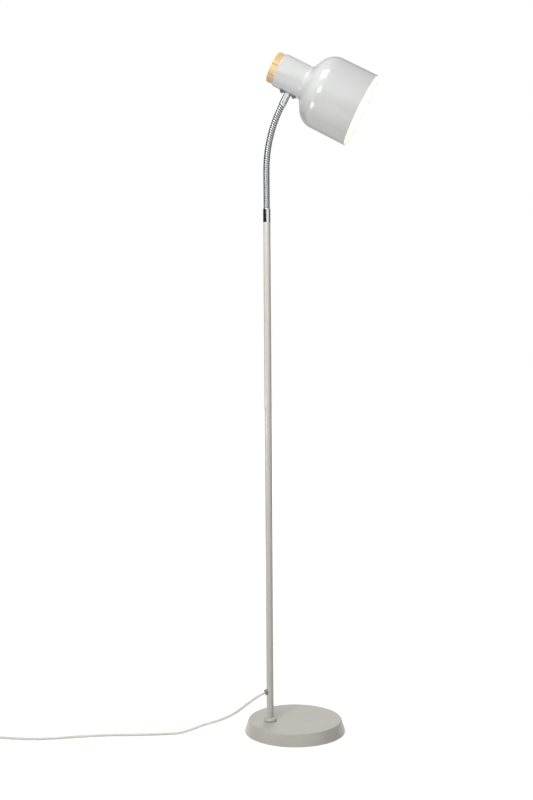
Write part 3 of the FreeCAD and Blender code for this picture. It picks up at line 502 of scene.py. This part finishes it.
def ringed_tube(name, finishes, stations, surface_at, around):
    """Closed tube along the neck: a ring at each station. surface_at gives the radius of each point and
    which of the finishes the face that starts there has."""
    mesh = bmesh.new()
    side = across_neck()
    rings = []
    for along in stations:
        point, direction = neck_at(along)
        forward = side.cross(direction)
        ring = []
        for step in range(around):
            turn = 2 * math.pi * step / around
            out = side * math.cos(turn) + forward * math.sin(turn)
            # which finish the face gets; on the hose, 1 is the painted shade of its grooves
            radius, finish_index = surface_at(along, turn)
            ring.append((mesh.verts.new(point + out * radius), finish_index))
        rings.append(ring)
    for below, above in zip(rings, rings[1:]):
        for step in range(around):
            after = (step + 1) % around
            face = mesh.faces.new((below[step][0], below[after][0], above[after][0], above[step][0]))
            face.smooth = True
            face.material_index = below[step][1]
    for ring in (rings[0], rings[-1]):
        mesh.faces.new([vertex for vertex, finish_index in ring])
    bmesh.ops.recalc_face_normals(mesh, faces=mesh.faces)
    data = bpy.data.meshes.new(name)
    mesh.to_mesh(data)
    mesh.free()
    return add_piece(name, data, *finishes)


def cord_curve(name, points, finish_name):
    """Round cord on one smooth open spline with these control points."""
    data = bpy.data.curves.new(name, "CURVE")
    data.dimensions = "3D"
    data.bevel_depth = sizes().cord_diameter / 2
    data.bevel_resolution = 6
    data.resolution_u = 8
    data.use_fill_caps = True
    spline = data.splines.new("NURBS")
    spline.points.add(len(points) - 1)
    for control, point in zip(spline.points, points):
        control.co = (*point, 1.0)
    spline.order_u = 3
    spline.use_endpoint_u = True
    return add_piece(name, data, finish_name)


# ---- the cord's route ----------------------------------------------------------------------------
CORD_ROUTE = [           # from the bush to the switch
    (-0.06777, 0.0, 0.08882), (-0.0807, 0.0, 0.08412), (-0.0992, 0.0016, 0.0720),
    (-0.1349, 0.0074, 0.0452), (-0.1662, 0.0140, 0.0310), (-0.1975, 0.0208, 0.0230),
    (-0.2258, 0.0271, 0.0123), (-0.2492, 0.0322, 0.0040), (-0.2835, 0.0392, 0.0027),
    (-0.3381, 0.0472, 0.0027), (-0.3983, 0.0622, 0.0027), (-0.4644, 0.0695, 0.0027),
    (-0.5299, 0.0704, 0.0027), (-0.5856, 0.0783, 0.0042), (-0.6258, 0.0907, 0.0065),
    (-0.6497, 0.0984, 0.0065)]
# past the switch, in its own frame: to the coil, and from the coil down to the plug
TAIL_ROUTE = [(0.062, 0.0, 0.0065), (0.080, 0.0, 0.0060), (0.096, 0.0, 0.0033)]
PLUG_ROUTE = [(0.104, 0.0, 0.0092), (0.092, 0.0006, 0.00685), (0.084, 0.0006, 0.00685)]
COIL_POINTS = 24         # control points in each turn


def past_switch():
    """Placement of what lies past the switch's near end: X away from the lamp, Z up, on the floor."""
    end, before = Vector(CORD_ROUTE[-1]), Vector(CORD_ROUTE[-2])
    away = (end - before).normalized()
    return Matrix.Translation((end.x, end.y, 0)) @ Matrix.Rotation(math.atan2(away.y, away.x), 4, "Z")


def coil_route():
    """The put-away turns: in on the floor, up one layer in half a turn, and out again."""
    s = sizes()
    outer = s.coil_inner + s.coil_pitch * s.coil_turns / 2
    centre = Vector((s.switch_length + s.lead_in, outer, s.coil_low))
    count = round(s.coil_turns * COIL_POINTS)
    points = [centre + Vector((-s.cord_diameter, -outer, 0))]
    for step in range(count + 1):
        turn = s.coil_turns * step / count
        from_middle = turn - s.coil_turns / 2
        # the spline runs this much inside its control points
        radius = (s.coil_inner + s.coil_pitch * abs(from_middle)) / math.cos(math.pi / COIL_POINTS)
        climb = min(max(from_middle * 2 + 0.5, 0), 1)
        bearing = 2 * math.pi * turn - math.pi / 2
        points.append(centre + Vector((radius * math.cos(bearing), radius * math.sin(bearing),
                                       s.coil_pitch * climb * climb * (3 - 2 * climb))))
    points.append(centre + Vector((-s.cord_diameter, outer, s.coil_pitch)))
    return points, outer


class LAMP_OT_cords(bpy.types.Operator):
    """Build the mains cord from the bush to the switch, and on through its coil to the plug"""
    bl_idname = "lamp.cords"
    bl_label = "Cords"

    def execute(self, context):
        place = past_switch()
        power = cord_curve("cord_to_switch", [Vector(p) for p in CORD_ROUTE], "cord_sheath")
        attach(power, "stand")
        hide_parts("power_cord")
        coil, outer = coil_route()
        drop = [Vector(p) + Vector((0, 2 * outer, 0)) for p in PLUG_ROUTE]
        route = [place @ Vector(p) for p in [*TAIL_ROUTE, *coil, *drop]]
        rest = cord_curve("cord_to_plug", route, "cord_sheath")
        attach(rest, "stand")
        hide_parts("cord_tail", "cord_coil", "plug_cord")
        dress("cord_plastic", "switch_base", "switch_cover", "switch_rocker", "plug_body")
        dress("tie_plastic", "coil_tie")
        dress("brass", "switch_terminals")
        dress("zinc_plate", "plug_pins")
        return {"FINISHED"}


HOSE_SIDES = 40          # points round the hose
LEAD_SIDES = 16          # points round the lead inside it
STEPS_PER_RIB = 14       # rings along each turn of the wire
LEAD_EVERY = 7           # the lead has one ring for this many of the hose's
GROOVE_BELOW = 0.75      # share of the wire's height, below which a face has the groove's painted shade


class LAMP_OT_neck(bpy.types.Operator):
    """Build the hose and the lead inside it, one span for each flexing place, and dress the ferrules"""
    bl_idname = "lamp.neck"
    bl_label = "Neck"

    def execute(self, context):
        s = sizes()
        pitch = link_length() / s.ribs_per_link
        wire = s.hose_radius - s.groove_radius

        def hose_surface(along, turn):
            share = (along / pitch - turn / (2 * math.pi)) % 1.0
            crest = math.sqrt(max(1 - (2 * share - 1) ** 2, 0.0))
            # faces low between the turns take the finish that paints the groove's shade
            return s.groove_radius + wire * crest, int(crest < GROOVE_BELOW)

        def lead_surface(along, turn):
            return s.lead_radius, 0

        steps = s.ribs_per_link * STEPS_PER_RIB
        for number, joint in enumerate(NECK_JOINTS):
            first, last = number == 0, number == HINGES - 1
            start, end = number * link_length(), (number + 1) * link_length()
            stations = [start + (end - start) * i / steps for i in range(steps + 1)]
            lead_stations = stations[::LEAD_EVERY]
            if first:
                stations.insert(0, -s.ferrule_depth)
            if last:
                stations.append(end + s.ferrule_depth)
                lead_stations.append(end + s.neck_lead_end)
            hose = ringed_tube("hose_span_%02d" % number, ("hose_wire", "hose_groove"), stations,
                               hose_surface, HOSE_SIDES)
            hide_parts("hose_link_%d" % number, "hose_link_%d" % (number + 1))
            lead = ringed_tube("lead_span_%02d" % number, ("lead_sheath",), lead_stations,
                               lead_surface, LEAD_SIDES)
            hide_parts("neck_lead")
            for piece in (hose, lead):
                neck_at(start)[0]
                neck_at(end)[0]
                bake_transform(piece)
        dress("chrome", "top_ferrule", "head_ferrule")
        dress("saddle_steel", "grub_screw")
        return {"FINISHED"}


class LAMP_OT_base(bpy.types.Operator):
    """Finish the base: its enamelled cover, weight, plate, felt and fasteners"""
    bl_idname = "lamp.base"
    bl_label = "Base"

    def execute(self, context):
        dress("stand_enamel", "base_cover", "foot_collar")
        dress("cast_iron", "base_weight")
        dress("plate_plastic", "base_plate")
        dress("felt", "felt_pad")
        dress("zinc_plate", "base_washer", "base_nut", "pole_stud")
        return {"FINISHED"}


class LAMP_OT_pole(bpy.types.Operator):
    """Finish the three pole sections, their couplers, the cord's bush and the lead inside"""
    bl_idname = "lamp.pole"
    bl_label = "Pole"

    def execute(self, context):
        dress("stand_enamel", "pole_lower", "pole_middle", "pole_upper")
        dress("zinc_plate", "foot_insert", "lower_coupler", "upper_coupler")
        dress("bush_rubber", "cord_bush")
        dress("lead_sheath", "pole_lead")
        return {"FINISHED"}


class LAMP_OT_head(bpy.types.Operator):
    """Finish the shade, its wooden cap and the saddle that carries them"""
    bl_idname = "lamp.head"
    bl_label = "Head"

    def execute(self, context):
        dress("shade_enamel", "shade")
        dress("turned_oak", "wood_cap")
        dress("saddle_steel", "saddle", "saddle_screws")
        return {"FINISHED"}


class LAMP_OT_lampholder(bpy.types.Operator):
    """Finish the lampholder, its bracket and wiring, and the lit bulb"""
    bl_idname = "lamp.lampholder"
    bl_label = "Lampholder"

    def execute(self, context):
        dress("zinc_plate", "holder_bracket", "holder_nipple", "nipple_nuts")
        dress("holder_plastic", "holder_shell", "holder_skirt")
        dress("porcelain", "contact_block")
        dress("opal_glass", "bulb_glass")
        dress("bulb_metal", "bulb_cap")
        dress("lead_sheath", "head_lead")
        return {"FINISHED"}


# ---- stage ---------------------------------------------------------------------------------------
# Metres, and degrees for bearings
FLOOR_HALF = 15.0        # half of the floor's side
FLOOR_WHITE = 1.22       # strength of the plain white in it
SHADOW_NEAR = 0.3        # from the lamp, to where the floor's shadow has its full share
SHADOW_FAR = 2.0         # from the lamp, to where the floor is plain white
FLAG_RADIUS = 2.6        # from the origin
FLAG_STEPS = 24          # flat faces along each flag
FLAG_LOW = -0.2          # lower edge, out of sight below the floor
FLAGS = (                # name, first and last bearing, strength of its grey, lower and upper edge
    ("dark_flag", -24.0, -105.0, 0.02, FLAG_LOW, 2.1),
    ("left_flag", -105.0, -160.0, 0.04, FLAG_LOW, 3.6),
    ("back_flag", -160.0, -220.0, 0.60, FLAG_LOW, 2.1),
    ("upper_flag", -160.0, -250.0, 0.50, 2.1, 4.5),
    ("grey_flag", 52.0, 140.0, 0.14, FLAG_LOW, 3.0),
)
SHOULDER = (0.03, -0.10, 1.38)       # of the shade, which the glints face
GLINT_STRENGTH = 9.0
GLINTS = (               # name, place, width, height
    ("high_glint", (-0.45, -0.59, 2.36), 0.62, 0.60),
    ("side_glint", (-0.69, -0.80, 1.46), 0.28, 0.30),
    ("low_glint", (-1.16, -0.22, 0.66), 0.40, 0.38),
)
LIGHTS = (               # stage setting that gives the power, place, what it faces, side
    ("high", (-0.45, -0.59, 2.36), (0.0, -0.05, 1.30), 0.5),
    ("side", (-0.69, -0.80, 1.50), (0.0, -0.05, 1.25), 0.4),
    ("low", (-1.00, -0.21, 0.44), (0.0, -0.05, 0.90), 0.4),
    ("far", (-1.20, -1.80, 2.00), (0.0, -0.05, 1.20), 0.9),
    ("mid", (-0.60, -0.80, 1.00), (-0.05, 0.0, 0.95), 0.4),
    ("fore", (-0.25, -0.95, 1.02), (-0.05, 0.0, 0.95), 0.4),
    ("back", (0.50, 1.00, 1.15), (0.0, -0.05, 0.0), 0.8),
)


def seen_ray(nodes, links):
    """1 for rays that show the background itself: camera, glossy and transmission rays."""
    path = nodes.new("ShaderNodeLightPath")
    total = path.outputs["Is Camera Ray"]
    for name in ("Is Glossy Ray", "Is Transmission Ray"):
        both = nodes.new("ShaderNodeMath")
        both.operation = "ADD"
        both.use_clamp = True
        links.new(total, both.inputs[0])
        links.new(path.outputs[name], both.inputs[1])
        total = both.outputs[0]
    return total


def make_world(ambient):
    """Plain white where it is seen, and an even, weaker light from all round for the rest."""
    world = bpy.data.worlds.new("studio")
    bpy.context.scene.world = world
    world.use_nodes = True
    nodes, links = world.node_tree.nodes, world.node_tree.links
    nodes.clear()
    room, white = nodes.new("ShaderNodeBackground"), nodes.new("ShaderNodeBackground")
    room.inputs["Strength"].default_value = ambient
    for light in (room, white):
        light.inputs["Color"].default_value = (1, 1, 1, 1)
    either, output = nodes.new("ShaderNodeMixShader"), nodes.new("ShaderNodeOutputWorld")
    links.new(seen_ray(nodes, links), either.inputs[0])
    links.new(room.outputs[0], either.inputs[1])
    links.new(white.outputs[0], either.inputs[2])
    links.new(either.outputs[0], output.inputs["Surface"])


def make_floor(lift):
    """Pale floor: by the lamp it keeps the lamp's shadow under a share of plain white, far off it is
    white, and from below it is clear."""
    mesh = bpy.data.meshes.new("floor")
    half = FLOOR_HALF
    corners = [(-half, -half, 0), (half, -half, 0), (half, half, 0), (-half, half, 0)]
    mesh.from_pydata(corners, [], [(0, 1, 2, 3)])
    f = Finish("floor_paint", Base_Color=(0.78, 0.78, 0.77, 1.0), Roughness=0.9)
    white = f.node("ShaderNodeEmission", Color=(1, 1, 1, 1), Strength=FLOOR_WHITE)
    away = f.vector("LENGTH", f.place, output="Value")
    lifted = f.node("ShaderNodeMapRange", Value=away, From_Min=SHADOW_NEAR, From_Max=SHADOW_FAR,
                    To_Min=lift, To_Max=1.0).outputs["Result"]
    share = f.node("ShaderNodeMath", {"operation": "MULTIPLY"}, _0=seen_ray(f.tree.nodes, f.tree.links),
                   _1=lifted).outputs[0]
    mix = f.node("ShaderNodeMixShader", _0=share, _1=f.shader.outputs[0], _2=white.outputs[0])
    under = f.node("ShaderNodeNewGeometry").outputs["Backfacing"]
    clear = f.node("ShaderNodeBsdfTransparent")
    both = f.node("ShaderNodeMixShader", _0=under, _1=mix.outputs[0], _2=clear.outputs[0])
    f.link(both.outputs[0], f.surface.inputs["Surface"])
    floor = bpy.data.objects.new("floor", mesh)
    mesh.materials.append(f.material)
    bpy.context.scene.collection.objects.link(floor)


def add_card(name, corners, faces, f):
    """Studio card that only reflections show."""
    mesh = bpy.data.meshes.new(name)
    mesh.from_pydata(corners, [], faces)
    mesh.materials.append(f.material)
    card = bpy.data.objects.new(name, mesh)
    for ray in ("camera", "diffuse", "transmission", "volume_scatter", "shadow"):
        setattr(card, "visible_" + ray, False)
    bpy.context.scene.collection.objects.link(card)
    return card


def make_flag(name, start_deg, end_deg, grey, low, high):
    """Upright curved card round the lamp; bearings are in degrees from -Y towards +X."""
    corners = []
    for step in range(FLAG_STEPS + 1):
        bearing = math.radians(start_deg + (end_deg - start_deg) * step / FLAG_STEPS)
        across = Vector((math.sin(bearing), -math.cos(bearing), 0)) * FLAG_RADIUS
        corners += [across + UP * low, across + UP * high]
    faces = [(2 * i, 2 * i + 2, 2 * i + 3, 2 * i + 1) for i in range(FLAG_STEPS)]
    f = Finish(name + "_cloth", Base_Color=(0, 0, 0, 1.0), Roughness=1.0, Specular_IOR_Level=0.0,
               Emission_Color=(1, 1, 1, 1), Emission_Strength=grey)
    add_card(name, corners, faces, f)


def make_glint(name, place, width, height):
    """Small bright window whose reflection shows on glossy paint."""
    f = Finish(name + "_glass", Base_Color=(0, 0, 0, 1.0), Emission_Color=(1, 1, 1, 1),
               Emission_Strength=GLINT_STRENGTH)
    across, up = width / 2, height / 2
    corners = [(-across, -up, 0), (across, -up, 0), (across, up, 0), (-across, up, 0)]
    card = add_card(name, corners, [(0, 1, 2, 3)], f)
    card.location = place
    card.rotation_euler = (Vector(SHOULDER) - Vector(place)).to_track_quat("Z", "Y").to_euler()


def soft_light(name, place, aim, side, power):
    """Square soft lamp. Its own reflection is left out, and the glints stand for it."""
    data = bpy.data.lights.new(name, "AREA")
    data.shape = "SQUARE"
    data.size = side
    data.energy = power
    light = bpy.data.objects.new(name, data)
    light.visible_glossy = False
    light.location = place
    light.rotation_euler = (Vector(aim) - Vector(place)).to_track_quat("-Z", "Y").to_euler()
    bpy.context.scene.collection.objects.link(light)


class LAMP_OT_stage(bpy.types.Operator):
    """Make the floor, the soft studio light and the camera"""
    bl_idname = "lamp.stage"
    bl_label = "Stage"

    def execute(self, context):
        st = stage_settings()
        data = bpy.data.cameras.new("camera")
        data.lens = st.lens
        camera = bpy.data.objects.new("camera", data)
        turn = Matrix.Rotation(st.camera_turn, 4, "Z")
        dip = Matrix.Rotation(math.pi / 2 - st.camera_dip, 4, "X")
        roll = Matrix.Rotation(-st.camera_roll, 4, "Z")
        camera.matrix_world = Matrix.Translation(st.camera_place) @ turn @ dip @ roll
        context.scene.collection.objects.link(camera)
        context.scene.camera = camera
        context.scene.view_settings.view_transform = "Standard"
        make_world(st.ambient)
        make_floor(st.floor_lift)
        for flag in FLAGS:
            make_flag(*flag)
        for glint in GLINTS:
            make_glint(*glint)
        for setting, place, aim, side in LIGHTS:
            soft_light(setting + "_light", place, aim, side, getattr(st, setting))
        return {"FINISHED"}


PIECE_OPERATORS = (LAMP_OT_stage, LAMP_OT_cords, LAMP_OT_base, LAMP_OT_pole, LAMP_OT_neck, LAMP_OT_head,
                   LAMP_OT_lampholder)
GROUPS = {"lamp_sizes": LampSizes, "lamp_colours": LampColours, "lamp_stage": LampStage}


class LAMP_PT_pieces(bpy.types.Panel):
    """Lists what the lamp is made of, in the order that it is built"""
    bl_idname = "LAMP_PT_pieces"
    bl_label = "Reading Lamp"
    bl_space_type = "VIEW_3D"
    bl_region_type = "UI"
    bl_category = "Lamp"

    def draw(self, context):
        for operator in PIECE_OPERATORS:
            self.layout.operator(operator.bl_idname)
        for group in GROUPS:
            values = getattr(context.scene, group)
            column = self.layout.column()
            for name in values.__annotations__:
                column.prop(values, name)


CLASSES = (*GROUPS.values(), *PIECE_OPERATORS, LAMP_PT_pieces)


def register():
    for kind in CLASSES:
        bpy.utils.register_class(kind)
    for name, group in GROUPS.items():
        setattr(bpy.types.Scene, name, bpy.props.PointerProperty(type=group))


def unregister():
    for name in GROUPS:
        delattr(bpy.types.Scene, name)
    for kind in reversed(CLASSES):
        bpy.utils.unregister_class(kind)


def main():
    register()
    bpy.ops.lamp.stage()
    bpy.ops.lamp.cords()
    bpy.ops.lamp.base()
    bpy.ops.lamp.pole()
    bpy.ops.lamp.neck()
    bpy.ops.lamp.head()
    bpy.ops.lamp.lampholder()


if __name__ == "__main__":
    main()
